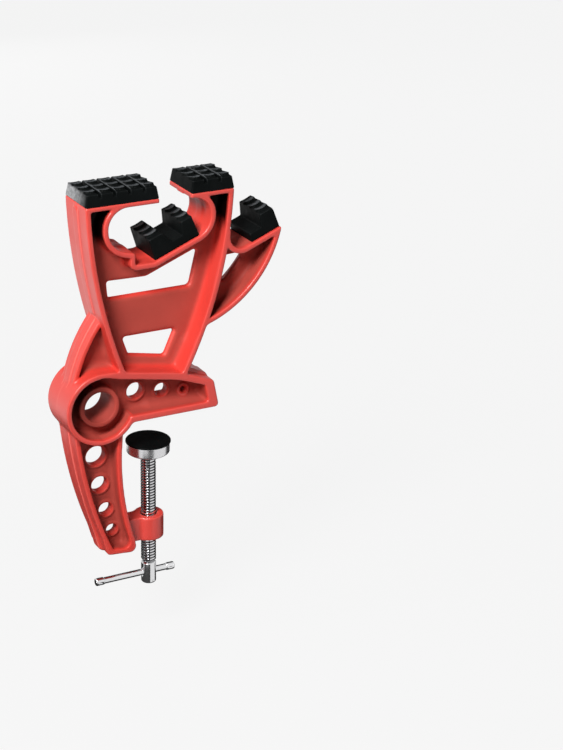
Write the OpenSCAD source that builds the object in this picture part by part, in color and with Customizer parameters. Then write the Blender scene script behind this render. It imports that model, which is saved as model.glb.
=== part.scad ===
// Ski tuning vise: a one-piece moulded frame that clamps under a bench edge and
// carries a ski flat on two top pads, or on edge in two sloping cradles.
// Millimetres. X runs from the hub towards the bench, Y across the ski, Z up.
// The origin is on the flat underside of the base arm, straight above the clamp screw.

/* [Frame] */
// Half the width of the head, base arm, hub ring and cradles across Y
head_half = 16.2; // [14:0.1:20]
// Half the width of the leg across Y
leg_half = 13.5; // [11:0.1:14]
// Half the width of the arch between the hub and the head
arch_half = 9; // [7:0.1:10.5]
// Thickness of the flanges round each pocket
flange_t = 3.3; // [2.6:0.1:4]
// Thickness of the wall round the ski cavity and the outer cradle
cradle_t = 3.4; // [2.8:0.1:4]
// Thickness of the central web
web_t = 5.8; // [4:0.1:8]
// How far the rims round the web's holes stand out on each side
rim_h = 0.8; // [0.4:0.1:1.5]
// Width of the rims round the web's holes
rim_w = 1.8; // [1.2:0.1:2.4]
// Height of the top decks above the bench face
deck_z = 145.2; // [140:0.1:150]
// Thickness of the top decks
deck_t = 3; // [2.6:0.1:4]
// Height of the low bead along the outer flanges
bead_h = 0.8; // [0.4:0.1:1.2]
// Half the width of that bead
bead_half = 3.6; // [2:0.1:5]

/* [Head] */
// Left end of the left deck
left_deck_x = -47.6; // [-50:0.1:-46]
// Left edge of the mouth between the decks
mouth_left_x = 1.0; // [-2:0.1:3]
// Right edge of the mouth between the decks
mouth_right_x = 22.8; // [21:0.1:25]
// Right end of the right deck
right_deck_x = 52.2; // [51.4:0.1:53]
// Radius of the left strut's outer curve
left_strut_r = 339.8; // [330:0.1:350]
// Radius of the right strut's outer curve
right_strut_r = 284; // [278:0.1:290]
// Left end of the ski cavity
cavity_left_x = -32.8; // [-34:0.1:-31]
// Right end of the ski cavity
cavity_right_x = 36.4; // [35.8:0.1:37]
// Height of the cavity's floor
cavity_floor_z = 104.7; // [103:0.1:106]
// Radius of the outer bracket's curve
bracket_r = 76.5; // [74:0.1:79]
// Slope of both cradles, in degrees
cradle_slope = 22.1; // [20:0.1:24]

/* [Hub and base arm] */
// Outer radius of the hub ring
ring_r = 24.2; // [23:0.1:25.5]
// Outer radius of the hub tube
tube_r = 13.5; // [12.5:0.1:15]
// Radius of the hub bore
bore_r = 10.2; // [9:0.1:11]
// Half the length of the hub tube
tube_half = 12; // [9:0.1:15]
// Right end of the base arm's bench face
arm_end_x = 43.3; // [40:0.1:46]
// Height of the base arm at its free end
arm_end_h = 18.7; // [17:0.1:20]
// Height of the rib on top of the base arm
arm_rib_h = 2.4; // [1:0.1:3]
// Half the width of that rib
arm_rib_half = 6.5; // [4:0.1:8]

/* [Leg and collar] */
// Depth of the leg's foot below the bench face
leg_drop = 93.6; // [92:0.1:98]
// Outer radius of the screw's collar
collar_r = 10; // [9.6:0.1:12]
// Top of the collar below the bench face
collar_top = 74.2; // [72:0.1:76]
// Length of the collar
collar_h = 16.5; // [14:0.1:18]
// Half the width of the neck between the leg and the collar
neck_half = 6; // [4:0.1:8]
// Thickness of the collar's lips above and below the threaded bush
lip_t = 2; // [1.5:0.1:3]
// Outer radius of the threaded bush
bush_r = 7.5; // [6.8:0.1:8]

/* [Clamp screw] */
// Radius of the trapezoidal thread
screw_r = 5; // [4.5:0.05:5.5]
// Radial clearance of everything that turns or slides
run_gap = 0.05; // [0.02:0.01:0.1]
// Clearance of the collar's lips round the thread
lip_gap = 0.45; // [0.3:0.05:0.8]
// Length of the thread below the foot
thread_len = 80.8; // [76:0.1:88]
// Length of the plain end that carries the tommy bar
boss_len = 14; // [12:0.1:18]
// Radius of the spigot in the foot
spigot_r = 3.2; // [2.5:0.1:3.6]
// Radius of the riveted head on the spigot
rivet_r = 4.4; // [4.2:0.1:4.6]
// Thickness of the riveted head
rivet_t = 1.1; // [0.8:0.1:1.3]

/* [Foot] */
// Top of the foot below the bench face, with the screw as photographed
foot_drop = 21.6; // [18:0.1:24]
// Radius of the metal disc
disc_r = 14.2; // [12:0.1:16]
// Thickness of the metal disc
disc_t = 7.2; // [5:0.1:9]
// Radius of the recess in the disc's top
recess_r = 6.2; // [6:0.1:8]
// Depth of that recess
recess_t = 2.4; // [2.3:0.1:2.8]
// Radius of the rubber cap
cap_r = 14.8; // [12.4:0.1:17]
// Thickness of the rubber cap
cap_t = 1.2; // [1:0.1:3]
// Thickness of the washer under the riveted head
washer_t = 0.8; // [0.5:0.1:0.9]
// Radius of that washer
washer_r = 5.6; // [4.8:0.1:5.8]

/* [Tommy bar] */
// Radius of the bar
bar_r = 2; // [1.6:0.1:2.4]
// Length of the bar
bar_len = 57; // [50:0.5:70]
// Length of each swaged end
swage_len = 6; // [4:0.5:8]
// Radius of each swaged end
swage_r = 2.5; // [2.4:0.1:3]
// How far the bar has slid to the left
bar_shift = 10.1; // [-10:0.1:14]

/* [Pads] */
// Height of the top pads
pad_h = 9; // [7:0.1:11]
// How far the top pads' sides lean in
pad_taper = 1.4; // [0.5:0.1:2]
// Columns of studs on the left pad
left_columns = 5; // [4:1:6]
// Columns of studs on the right pad
right_columns = 3; // [2:1:4]
// Width of the grooves between columns
groove_w = 1.8; // [1:0.1:2.4]
// Depth of the grooves between columns
groove_h = 4.7; // [3:0.1:5.5]
// Rows of studs and ridges across every pad
rows = 3; // [2:1:4]
// Radius of the scallops between rows
scallop_r = 1.5; // [1:0.1:1.8]
// Half the width of the cradle pads across Y
block_half = 14.5; // [12:0.1:16]
// Length of the inner cradle pad along its slope
block_len = 32.6; // [31:0.1:33.5]
// Length of the outer cradle pad along its slope
outer_block_len = 21.3; // [20:0.1:21.8]
// Height of the cradle pads' jaws
block_h = 15.8; // [13:0.1:17]
// Thickness of the cradle pads under the notch
block_base = 6; // [4:0.1:8]
// Radius of the moulded pegs under every pad
peg_r = 2.4; // [2:0.1:2.8]
// Length of those pegs
peg_len = 2.2; // [1.5:0.1:2.4]
// Clearance of the pegs and of the bush in the frame
seat_gap = 0.02; // [0.01:0.01:0.04]

/* [Hidden] */
fine = 96;      // facets on round features
arc_step = 6;   // degrees in each step of a rounded corner
over = 1;       // how far a cutter runs past a face

red = [0.86, 0.20, 0.16];
black = [0.09, 0.10, 0.11];
steel = [0.78, 0.79, 0.80];

web_half = web_t / 2;
hub = [-38.3, 12.5];
left_c = [left_deck_x + left_strut_r - 0.1, 155];
right_c = [right_deck_x - right_strut_r + 0.2, 157.6];
arch_r = 102.6;
arch_c = [arch_r - 57.8, 7.2];       // each curve's centre keeps its outermost point in place
arch_top = 72;                       // where the arch runs into the left strut
arch_web_top = 67;
leg_r = 302.2;
leg_c = [leg_r - 58.1, 27.2];
leg_right_r = 195;
leg_right_c = [leg_right_r - 24.2, -27.5];

slope_tan = tan(cradle_slope);
slope_x = -0.9;                      // where the inner slope passes slope_z
slope_z = cavity_floor_z + 0.5;
inner_seat = [-1.1, slope_z - 0.2 * slope_tan, 0];
outer_seat = [65.8, 107.2, 0];
outer_tip_x = 85.9;
outer_wall_x = 50;

// Web holes as [x, z, radius]
leg_holes = [[-38.4, -24.5, 6.8], [-36, -45.1, 5.6], [-32.1, -63.7, 4.7], [-28, -79.2, 3.8]];
arm_holes = [[-10.8, 15.7, 5.6], [7.7, 13.2, 4.5]];
arm_dimple = [23.2, 11, 4.3];
dimple_depth = 3.4;

foot_z = -foot_drop;
disc_top = foot_z - cap_t;
disc_bottom = disc_top - disc_t;
recess_floor = disc_top - recess_t;
shoulder_z = disc_bottom - run_gap;
boss_top = shoulder_z - thread_len;
boss_bottom = boss_top - boss_len;
bar_z = (boss_top + boss_bottom) / 2;
collar_bottom = -collar_top - collar_h;

// Points of an arc round c from angle a0 to a1
function arc(c, r, a0, a1, n = 24) =
    [for (i = [0:n]) c + r * [cos(a0 + (a1 - a0) * i / n), sin(a0 + (a1 - a0) * i / n)]];

// Angle at which a circle round c with radius r passes height z, on its left or right side
function left_angle(c, r, z) = 180 - asin((z - c[1]) / r);
function right_angle(c, r, z) = asin((z - c[1]) / r);

// Where two circles cross, on the lower or right side of the line between their centres
function meet(c1, r1, c2, r2) =
    let (d = norm(c2 - c1), u = (c2 - c1) / d, a = (d * d + r1 * r1 - r2 * r2) / (2 * d),
         h = sqrt(r1 * r1 - a * a))
    c1 + a * u + h * [-u[1], u[0]];
function turn_of(c, p) = atan2(p[1] - c[1], p[0] - c[0]);

function unit(v) = v / norm(v);
function cross2(a, b) = a[0] * b[1] - a[1] * b[0];
function at(p) = [p[0], p[1]];

// One corner of an outline: p is [x, z, radius] between the points a and b
function corner(a, p, b) =
    let (r = len(p) > 2 ? p[2] : 0, u = unit(at(a) - at(p)), v = unit(at(b) - at(p)))
    r <= 0 ? [at(p)] :
    let (half = acos(max(-1, min(1, u * v))) / 2, t = r / tan(half),
         c = at(p) + unit(u + v) * r / sin(half),
         s = at(p) + u * t - c, turn = 180 - 2 * half,
         way = cross2(u, v) > 0 ? -1 : 1, n = max(2, ceil(turn / arc_step)))
    [for (i = [0:n]) let (w = way * turn * i / n)
        c + [s[0] * cos(w) - s[1] * sin(w), s[0] * sin(w) + s[1] * cos(w)]];

// A closed outline whose corners are rounded
function rounded(v) =
    let (n = len(v)) [for (i = [0:n - 1]) each corner(v[(i + n - 1) % n], v[i], v[(i + 1) % n])];

// The same corners moved to the left of the path by t
function shifted(v, t) =
    let (n = len(v)) [for (i = [0:n - 1])
        let (a = at(v[(i + n - 1) % n]), p = at(v[i]), b = at(v[(i + 1) % n]),
             d1 = unit(p - a), d2 = unit(b - p), n1 = [-d1[1], d1[0]], n2 = [-d2[1], d2[0]],
             q = p + (n1 + n2) * t / (1 + n1 * n2), r = len(v[i]) > 2 ? v[i][2] : 0,
             left_turn = cross2(d1, d2) > 0)
        [q[0], q[1], r <= 0 ? 0 : left_turn ? max(0.3, r - t) : max(0.3, r + t)]];

// A plate of the X-Z outline v, from -half to half across Y
module plate(v, half) rotate([90, 0, 0]) linear_extrude(height = 2 * half, center = true) polygon(v);

// A round bar or hole along Y at [x, z]
module round_y(p, r, half) translate([p[0], 0, p[1]]) rotate([90, 0, 0])
    cylinder(r = r, h = 2 * half, center = true, $fn = fine);

// The ski cavity, open upwards between the decks
cavity_path = [
    [mouth_right_x - 0.2, deck_z - deck_t], [cavity_right_x, deck_z - deck_t, 12.2],
    [cavity_right_x, slope_z + (cavity_right_x - slope_x) * slope_tan, 14.2],
    [slope_x - (slope_z - cavity_floor_z) / slope_tan, cavity_floor_z, 8],
    [-15.05, cavity_floor_z, 1], [-15.1, cavity_floor_z + 7.4, 1.6],
    [cavity_left_x, cavity_floor_z + 12.3, 15.2],
    [cavity_left_x, deck_z - deck_t, 13.2], [mouth_left_x + 0.2, deck_z - deck_t]];

function left_edge(r, z0, z1) = arc(left_c, r, left_angle(left_c, r, z0), left_angle(left_c, r, z1));
function right_edge(r, z0, z1) = arc(right_c, r, right_angle(right_c, r, z0), right_angle(right_c, r, z1));

head_foot_left = 32;     // where the struts end inside the base arm
head_foot_right = 26;

module head_outline(half) {
    plate(concat(right_edge(right_strut_r, head_foot_right, deck_z),
                 left_edge(left_strut_r, deck_z, head_foot_left)), half);
}

module cavity() {
    plate(concat([[mouth_right_x, deck_z + over], [mouth_right_x, deck_z]],
                 rounded(cavity_path), [[mouth_left_x, deck_z], [mouth_left_x, deck_z + over]]),
          head_half + over);
}

// What the cavity's wall keeps out of the pocket
module cavity_with_wall() {
    plate(rounded(shifted(cavity_path, cradle_t)), head_half + 2 * over);
}

module head_pocket_outline(half) {
    plate(concat(right_edge(right_strut_r - flange_t, arm_top_z(17.6) - 1.5, deck_z - deck_t),
                 left_edge(left_strut_r - flange_t, deck_z - deck_t, arm_top_z(-22.6) - 1.5)), half);
}

upper_window = [[-27.3, 80.8, 1.5], [28.2, 80.8, 2.5], [33.7, 104.5, 1.6], [-1.4, 90.6, 8],
                [-28.2, 91.3, 1.2]];
lower_window = [[-13.9, 41.3, 1.5], [10.6, 36.4, 2], [17.8, 52.7, 1.5], [-17.9, 52.7, 1.5]];
arm_window = [[48.4, 75, 2.5], [66.9, 97, 2], [50.6, 96, 1.5]];

module windows() {
    for (w = [upper_window, lower_window, arm_window]) plate(rounded(w), head_half);
}

module head() {
    difference() {
        head_outline(head_half);
        cavity();
        difference() {
            head_pocket_outline(head_half + over);
            cavity_with_wall();
            cube([400, web_t, 500], center = true);
        }
    }
}

// Top of the base arm at x
arm_top_a = [-30, 36.4];
arm_top_b = [15, 28.3];
arm_top_end = [39.4, arm_end_h];
function arm_top_z(x) = x < arm_top_b[0]
    ? arm_top_a[1] + (x - arm_top_a[0]) * (arm_top_b[1] - arm_top_a[1]) / (arm_top_b[0] - arm_top_a[0])
    : arm_top_b[1] + (x - arm_top_b[0]) * (arm_top_end[1] - arm_top_b[1]) / (arm_top_end[0] - arm_top_b[0]);

bench_flange_t = 4.4;
arm_outline = [[hub[0], 0], [arm_end_x, 0, 2.5], [arm_top_end[0], arm_top_end[1], 2.5],
               [arm_top_b[0], arm_top_b[1], 60], [arm_top_a[0], arm_top_a[1], 6],
               [hub[0], hub[1] + ring_r]];
arm_pocket = [[-26.5, -6, 7], [-23.5, bench_flange_t, 6], [arm_end_x - 7.4, bench_flange_t, 2],
              [arm_top_end[0] - 6.2, arm_top_end[1] - 2.4, 2], [arm_top_b[0], arm_top_b[1] - 5, 60],
              [hub[0], hub[1] + ring_r - flange_t]];

// Fillet between the hub ring and the bench face
fillet_r = 4;
fillet_c = [hub[0] + sqrt(pow(ring_r + fillet_r, 2) - pow(hub[1] + fillet_r, 2)), -fillet_r];
fillet_turn = turn_of(fillet_c, hub);
fillet_root = hub + ring_r * [0.67, -0.55];      // a point inside the ring's wall
throat_fillet = concat(arc(fillet_c, fillet_r, fillet_turn, 90, 8),
                       [fillet_c + [0, fillet_r + 1], fillet_root]);

module base() {
    difference() {
        union() {
            round_y(hub, ring_r, head_half);
            plate(rounded(arm_outline), head_half);
        }
        difference() {
            union() {
                round_y(hub, ring_r - flange_t, head_half + over);
                plate(rounded(concat([[hub[0], hub[1] - ring_r + flange_t + 0.1]], arm_pocket)),
                      head_half + over);
            }
            cube([400, web_t, 500], center = true);
        }
    }
    round_y(hub, tube_r, tube_half);
    plate(throat_fillet, head_half);
    // Low rib along the arm's free end
    plate(rounded([[20, 20], [38.6, 16], [arm_top_end[0] + 0.4, arm_top_end[1] + 1.2, 2.5],
                   [24, arm_top_z(24) + arm_rib_h, 20], [20, arm_top_z(20) + arm_rib_h]]), arm_rib_half);
}

// Arch from the hub up to the left strut, round a triangular pocket
module arch() {
    arch_foot = hub[1] + 8;
    edge = arc(arch_c, arch_r, left_angle(arch_c, arch_r, arch_top), left_angle(arch_c, arch_r, arch_foot));
    inner = arc(arch_c, arch_r - flange_t, left_angle(arch_c, arch_r - flange_t, arch_foot),
                left_angle(arch_c, arch_r - flange_t, arch_top));
    plate(concat(edge, inner), arch_half);
    plate(concat(arc(arch_c, arch_r - 1, left_angle(arch_c, arch_r, arch_web_top),
                     left_angle(arch_c, arch_r, arch_foot)),
                 [[-40, arch_foot], [-24, 34]],
                 left_edge(left_strut_r - flange_t / 2, 34, arch_web_top)), web_half);
}

// Outer cradle, carried on a curved bracket outside the right strut
bracket_reach = 1.9;     // from the cradle's tip out to where its curve would bulge furthest
bracket_c = [outer_tip_x + bracket_reach - bracket_r, 130.4];
bracket_top = 118;
function outer_slope_z(x) = outer_seat[1] + (x - outer_seat[0]) * slope_tan;
outer_open = [[outer_tip_x + 2, outer_slope_z(outer_tip_x + 2)],
              [outer_wall_x, outer_slope_z(outer_wall_x), 8.3],
              [outer_wall_x, bracket_top + 2], [outer_tip_x + 2, bracket_top + 2]];

// The bracket's curve out to radius r, back to a line of radius strut_r in the right strut
module bracket_outline(r, strut_r, half) {
    tip = meet(bracket_c, r, right_c, strut_r);
    edge = right_edge(strut_r, bracket_top, tip[1]);
    plate(concat(arc(bracket_c, r, turn_of(bracket_c, tip), -11), [[outer_tip_x, bracket_top]],
                 [for (i = [0:len(edge) - 2]) edge[i]]), half);
}

module outer_bracket() {
    difference() {
        bracket_outline(bracket_r, right_strut_r - flange_t / 2, head_half);
        plate(rounded(outer_open), head_half + over);
        difference() {
            bracket_outline(bracket_r - flange_t, right_strut_r, head_half + over);
            plate(rounded(shifted(outer_open, cradle_t)), head_half + 2 * over);
            cube([400, web_t, 500], center = true);
        }
    }
}

// Leg down to the collar
leg_corners = [[-14.2, -leg_drop - 0.4, 4], [-35.8, -leg_drop + 1.4, 2.6]];
leg_curve_end = 8;       // where the leg's curves end above its foot

module leg_blank(in, half) {
    end_z = -leg_drop + leg_curve_end + in;
    top_r = ring_r - 1.2;
    right_top = meet(leg_right_c, leg_right_r + in, hub, top_r);
    left_top = meet(leg_c, leg_r - in, hub, top_r);
    right = arc(leg_right_c, leg_right_r + in, left_angle(leg_right_c, leg_right_r + in, end_z),
                left_angle(leg_right_c, leg_right_r + in, right_top[1]));
    left = arc(leg_c, leg_r - in, left_angle(leg_c, leg_r - in, left_top[1]),
               left_angle(leg_c, leg_r - in, end_z));
    top = arc(hub, top_r, turn_of(hub, right_top), turn_of(hub, left_top));
    foot = rounded([left[len(left) - 1], leg_corners[1] + in * [1.2, 1, 0],
                    leg_corners[0] + in * [-1.2, 1, 0], right[0]]);
    plate(concat(right, [for (i = [1:len(top) - 2]) top[i]], left,
                 [for (i = [1:len(foot) - 2]) foot[i]]), half);
}

module leg() {
    difference() {
        leg_blank(0, leg_half);
        difference() {
            leg_blank(flange_t, leg_half + over);
            cube([400, web_t, 500], center = true);
        }
    }
}

module collar_blank() {
    translate([0, 0, collar_bottom]) cylinder(r = collar_r, h = collar_h, $fn = fine);
    translate([-20, -neck_half, collar_bottom]) cube([14, 2 * neck_half, collar_h]);
}

module collar_holes() {
    translate([0, 0, collar_bottom - over])
        cylinder(r = screw_r + lip_gap, h = collar_h + 2 * over, $fn = fine);
    translate([0, 0, collar_bottom + lip_t])
        cylinder(r = bush_r + seat_gap, h = collar_h - 2 * lip_t, $fn = fine);
}

// Low bead along the middle of the outer flanges
module bead(c, r, z0, z1) {
    plate(concat(arc(c, r + bead_h, left_angle(c, r, z0), left_angle(c, r, z1)),
                 arc(c, r - 1, left_angle(c, r, z1), left_angle(c, r, z0))), bead_half);
}

bead_below_deck = 3;     // where the beads stop below the deck, above the hub and above the leg's foot
bead_above_hub = 14;
bead_leg_top = -2;
bead_above_foot = 9;

module beads() {
    bead(left_c, left_strut_r, deck_z - bead_below_deck, arch_top);
    bead(arch_c, arch_r, arch_top, hub[1] + bead_above_hub);
    bead(leg_c, leg_r, bead_leg_top, -leg_drop + bead_above_foot);
}

module peg_holes() {
    for (p = left_pegs) peg_at([p, deck_z], 0, true);
    for (p = right_pegs) peg_at([p, deck_z], 0, true);
    on_slope(inner_seat) peg_at([inner_peg_u, 0], 0, true);
    on_slope(outer_seat) peg_at([outer_peg_u, 0], 0, true);
}

module frame() {
    color(red) difference() {
        union() {
            head();
            base();
            arch();
            leg();
            outer_bracket();
            collar_blank();
            beads();
            for (h = concat(leg_holes, arm_holes)) round_y(h, h[2] + rim_w, web_half + rim_h);
            round_y(arm_dimple, arm_dimple[2] + rim_w, web_half + rim_h);
        }
        windows();
        for (h = concat(leg_holes, arm_holes)) round_y(h, h[2], head_half);
        for (s = [-1, 1])
            translate([arm_dimple[0], s * (web_half + rim_h), arm_dimple[1]]) rotate([90, 0, 0])
            cylinder(r = arm_dimple[2], h = 2 * (rim_h + 1.2), center = true, $fn = fine);
        round_y(hub, bore_r, head_half + over);
        collar_holes();
        peg_holes();
    }
}

// Pegs under the pads; a hole is the same peg with its clearance
left_pegs = [left_deck_x + 12, mouth_left_x - 12];
right_pegs = [(mouth_right_x + right_deck_x) / 2];
inner_peg_u = block_len / 2;
outer_peg_u = outer_block_len / 2;

module peg_at(p, y, hole = false) {
    gap = hole ? seat_gap : 0;
    translate([p[0], y, p[1] - peg_len - (hole ? 0.1 : 0)])
        cylinder(r = peg_r + gap, h = peg_len + (hole ? 0.1 + over : over / 2), $fn = 48);
}

// Puts a child on the slope whose lower end is p, with X along the slope
module on_slope(p) translate([p[0], 0, p[1]]) rotate([0, -cradle_slope, 0]) children();

// A pad with leaning sides, cut into columns of studs and scalloped rows
module top_pad(x0, x1, columns, pegs) {
    pitch = (x1 - x0) / columns;
    color(black) {
        difference() {
            intersection() {
                plate([[x0, deck_z], [x1, deck_z], [x1 - pad_taper, deck_z + pad_h],
                       [x0 + pad_taper, deck_z + pad_h]],
                      head_half);
                rotate([90, 0, 90]) linear_extrude(height = 400, center = true)
                    polygon([[-head_half, deck_z], [head_half, deck_z],
                             [head_half - pad_taper, deck_z + pad_h],
                             [-head_half + pad_taper, deck_z + pad_h]]);
            }
            for (i = [1:columns - 1])
                translate([x0 + i * pitch - groove_w / 2, -head_half - over, deck_z + pad_h - groove_h])
                    cube([groove_w, 2 * head_half + 2 * over, groove_h + over]);
            for (j = [1:rows - 1])
                translate([(x0 + x1) / 2, -head_half + 2 * head_half * j / rows, deck_z + pad_h + 0.3])
                    rotate([0, 90, 0]) cylinder(r = scallop_r, h = x1 - x0 + over, center = true, $fn = 32);
        }
        for (p = pegs) peg_at([p, deck_z], 0);
    }
}

// A cradle pad of profile v on the slope at seat, scalloped across its jaws
module cradle_pad(seat, v, peg_u, length) {
    color(black) on_slope(seat) {
        difference() {
            plate(v, block_half);
            for (j = [1:rows - 1])
                translate([length / 2, -block_half + 2 * block_half * j / rows, block_h + 0.3])
                    rotate([0, 90, 0]) cylinder(r = scallop_r, h = length + 4, center = true, $fn = 32);
        }
        peg_at([peg_u, 0], 0);
    }
}

module left_top_pad() top_pad(left_deck_x, mouth_left_x, left_columns, left_pegs);
module right_top_pad() top_pad(mouth_right_x, right_deck_x, right_columns, right_pegs);

module inner_cradle_pad() {
    cradle_pad(inner_seat, [[0, 0], [block_len, 0], [block_len - 0.3, block_h], [24.9, block_h],
                            [22, block_base], [14.6, block_base], [9.6, block_h], [1.3, block_h]],
               inner_peg_u, block_len);
}

module outer_cradle_pad() {
    cradle_pad(outer_seat, [[0, 0], [outer_block_len, 0], [outer_block_len, 12],
                            [outer_block_len - 1, block_h],
                            [12.2, block_h], [9.3, block_base], [0.6, block_base]],
               outer_peg_u, outer_block_len);
}

module thread_bush() {
    color(steel) translate([0, 0, collar_bottom + lip_t]) difference() {
        cylinder(r = bush_r, h = collar_h - 2 * lip_t, $fn = fine);
        translate([0, 0, -over]) cylinder(r = screw_r + run_gap, h = collar_h, $fn = fine);
    }
}

module clamp_screw() {
    tip = 1.2;                                   // chamfer on the plain end
    head_z = recess_floor + washer_t + 2 * run_gap;
    color(steel) difference() {
        rotate_extrude($fn = fine) polygon([
            [0, boss_bottom], [screw_r - tip, boss_bottom], [screw_r, boss_bottom + tip],
            [screw_r, shoulder_z - 0.6], [screw_r - 0.6, shoulder_z], [spigot_r, shoulder_z],
            [spigot_r, head_z], [rivet_r, head_z], [rivet_r, head_z + rivet_t / 2],
            [rivet_r - 0.8, head_z + rivet_t], [0, head_z + rivet_t]]);
        translate([0, 0, bar_z]) rotate([0, 90, 0])
            cylinder(r = bar_r + run_gap, h = 2 * screw_r + 2 * over, center = true, $fn = fine);
    }
}

module foot_disc() {
    edge = 1.4;                                  // rounding of the lower edge
    color(steel) difference() {
        rotate_extrude($fn = fine) polygon(concat(
            [[0, disc_bottom]], arc([disc_r - edge, disc_bottom + edge], edge, 270, 360, 6),
            [[disc_r, disc_top - 0.3], [disc_r - 0.3, disc_top], [0, disc_top]]));
        translate([0, 0, recess_floor]) cylinder(r = recess_r, h = recess_t + over, $fn = fine);
        translate([0, 0, disc_bottom - over])
            cylinder(r = spigot_r + run_gap, h = disc_t + over, $fn = fine);
    }
}

module rivet_washer() {
    color(steel) translate([0, 0, recess_floor]) difference() {
        cylinder(r = washer_r, h = washer_t, $fn = fine);
        translate([0, 0, -over]) cylinder(r = spigot_r + run_gap, h = washer_t + 2 * over, $fn = fine);
    }
}

// Rubber cap: a plug on its underside holds it in the disc's recess
module foot_cap() {
    plug_t = 1.3;
    plug_h = 0.8;
    edge = 0.5;                                  // chamfer of the upper edge
    color(black) rotate_extrude($fn = fine) polygon([
        [0, disc_top], [0, foot_z], [cap_r - edge, foot_z], [cap_r, foot_z - edge], [cap_r, disc_top],
        [recess_r - seat_gap, disc_top], [recess_r - seat_gap, disc_top - plug_h],
        [recess_r - plug_t, disc_top - plug_h], [recess_r - plug_t, disc_top]]);
}

module tommy_bar() {
    half = bar_len / 2;
    inner = half - swage_len;
    color(steel) translate([-bar_shift, 0, bar_z]) rotate([0, 90, 0]) rotate_extrude($fn = fine) polygon([
        [0, -half], [swage_r - 0.8, -half], [swage_r, -half + 0.8], [swage_r, -inner - 0.6], [bar_r, -inner],
        [bar_r, inner], [swage_r, inner + 0.6], [swage_r, half - 0.8], [swage_r - 0.8, half], [0, half]]);
}

frame();
left_top_pad();
right_top_pad();
inner_cradle_pad();
outer_cradle_pad();
thread_bush();
clamp_screw();
foot_disc();
rivet_washer();
foot_cap();
tommy_bar();
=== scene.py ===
import math
from types import SimpleNamespace

import bmesh
import bpy
import numpy as np
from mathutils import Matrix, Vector


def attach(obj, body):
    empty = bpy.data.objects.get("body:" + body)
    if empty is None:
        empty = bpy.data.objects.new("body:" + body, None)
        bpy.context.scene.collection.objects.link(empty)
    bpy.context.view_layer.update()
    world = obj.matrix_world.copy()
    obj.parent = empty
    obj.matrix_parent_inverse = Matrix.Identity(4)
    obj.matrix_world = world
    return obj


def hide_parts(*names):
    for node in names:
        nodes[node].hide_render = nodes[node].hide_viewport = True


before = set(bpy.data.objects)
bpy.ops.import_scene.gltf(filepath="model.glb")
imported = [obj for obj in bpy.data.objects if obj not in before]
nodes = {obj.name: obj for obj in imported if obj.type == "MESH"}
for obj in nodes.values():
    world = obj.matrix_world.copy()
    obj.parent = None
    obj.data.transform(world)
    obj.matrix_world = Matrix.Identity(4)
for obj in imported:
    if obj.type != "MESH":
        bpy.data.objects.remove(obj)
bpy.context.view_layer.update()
MM = 0.001

# Camera: the photograph's view, with the object left of the middle of a 563 x 750 picture
WIDTH, HEIGHT = 563, 750
CENTRE_PX = 167
AZIMUTH, ELEVATION = math.radians(25.52), math.radians(22.81)
DISTANCE = 1.1848
TARGET = Vector((0.0136, 0, 0.02098))
PX_PER_MM = 1.56
SENSOR = 36


def add(name, data):
    """A new object in the scene, with that mesh, lamp or camera."""
    ob = bpy.data.objects.new(name, data)
    bpy.context.scene.collection.objects.link(ob)
    return ob


def make_camera():
    data = bpy.data.cameras.new("camera")
    data.sensor_width = SENSOR
    data.lens = PX_PER_MM * DISTANCE / MM * SENSOR / HEIGHT
    data.shift_x = (WIDTH / 2 - CENTRE_PX) / HEIGHT
    data.clip_start, data.clip_end = 0.05, 60
    cam = add("camera", data)
    flat = math.cos(ELEVATION)
    back = Vector((-math.sin(AZIMUTH) * flat, -math.cos(AZIMUTH) * flat, math.sin(ELEVATION)))
    cam.location = TARGET + back * DISTANCE
    cam.rotation_euler = back.to_track_quat("Z", "Y").to_euler()
    bpy.context.scene.camera = cam


make_camera()

# Sizes of the vise in millimetres, as in its source: first how thick, wide and proud the moulding is
HEAD_HALF, LEG_HALF, ARCH_HALF, TUBE_HALF = 16.2, 13.5, 9.0, 12.0
FLANGE_T, CRADLE_T, WEB_HALF, WEB_INSET = 3.3, 3.4, 2.9, 2.2
RIM_H, RIM_W, EDGE_R, WINDOW_BEVEL = 0.8, 1.8, 0.9, 3.8
BEAD_H, BEAD_HALF, BEAD_GAP, RIB_HALF = 0.8, 3.6, 2.5, 6.5
# Where its parts are, with centres and radii of its long curves
DECK_Z, DECK_T = 145.2, 3.0
LEFT_DECK_X, MOUTH_LEFT_X, MOUTH_RIGHT_X, RIGHT_DECK_X = -47.6, 1.0, 22.8, 52.2
LEFT_R, RIGHT_R = 339.8, 284.0
CAVITY_LEFT_X, CAVITY_RIGHT_X, FLOOR_Z = -32.8, 36.4, 104.7
SLOPE = 22.1
HUB = np.array([-38.3, 12.5])
RING_R, TUBE_R, BORE_R = 24.2, 13.5, 10.2
ARM_END_X, ARM_END_H = 43.3, 18.7
ARM_TOP = ((-30, 36.4), (15, 28.3), (39.4, ARM_END_H))
LEG_DROP = 93.6
COLLAR_R, COLLAR_TOP, COLLAR_H = 10.0, -74.2, 16.5
COLLAR_MID = COLLAR_TOP - COLLAR_H / 2
NECK_X, NECK_HALF_X, NECK_HALF_Y = -13, 7, 6
LEFT_C = np.array([LEFT_DECK_X + LEFT_R - 0.1, 155])
RIGHT_C = np.array([RIGHT_DECK_X - RIGHT_R + 0.2, 157.6])
ARCH_R, ARCH_C, ARCH_TOP = 102.6, np.array([44.8, 7.2]), 72
LEG_R, LEG_C = 302.2, np.array([244.1, 27.2])
LEG_RIGHT_R, LEG_RIGHT_C = 195.0, np.array([170.8, -27.5])
BRACKET_R, BRACKET_C, BRACKET_TOP = 76.5, np.array([11.3, 130.4]), 118.0
TAN = math.tan(math.radians(SLOPE))
SLOPE_X, SLOPE_Z = -0.9, FLOOR_Z + 0.5
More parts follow.
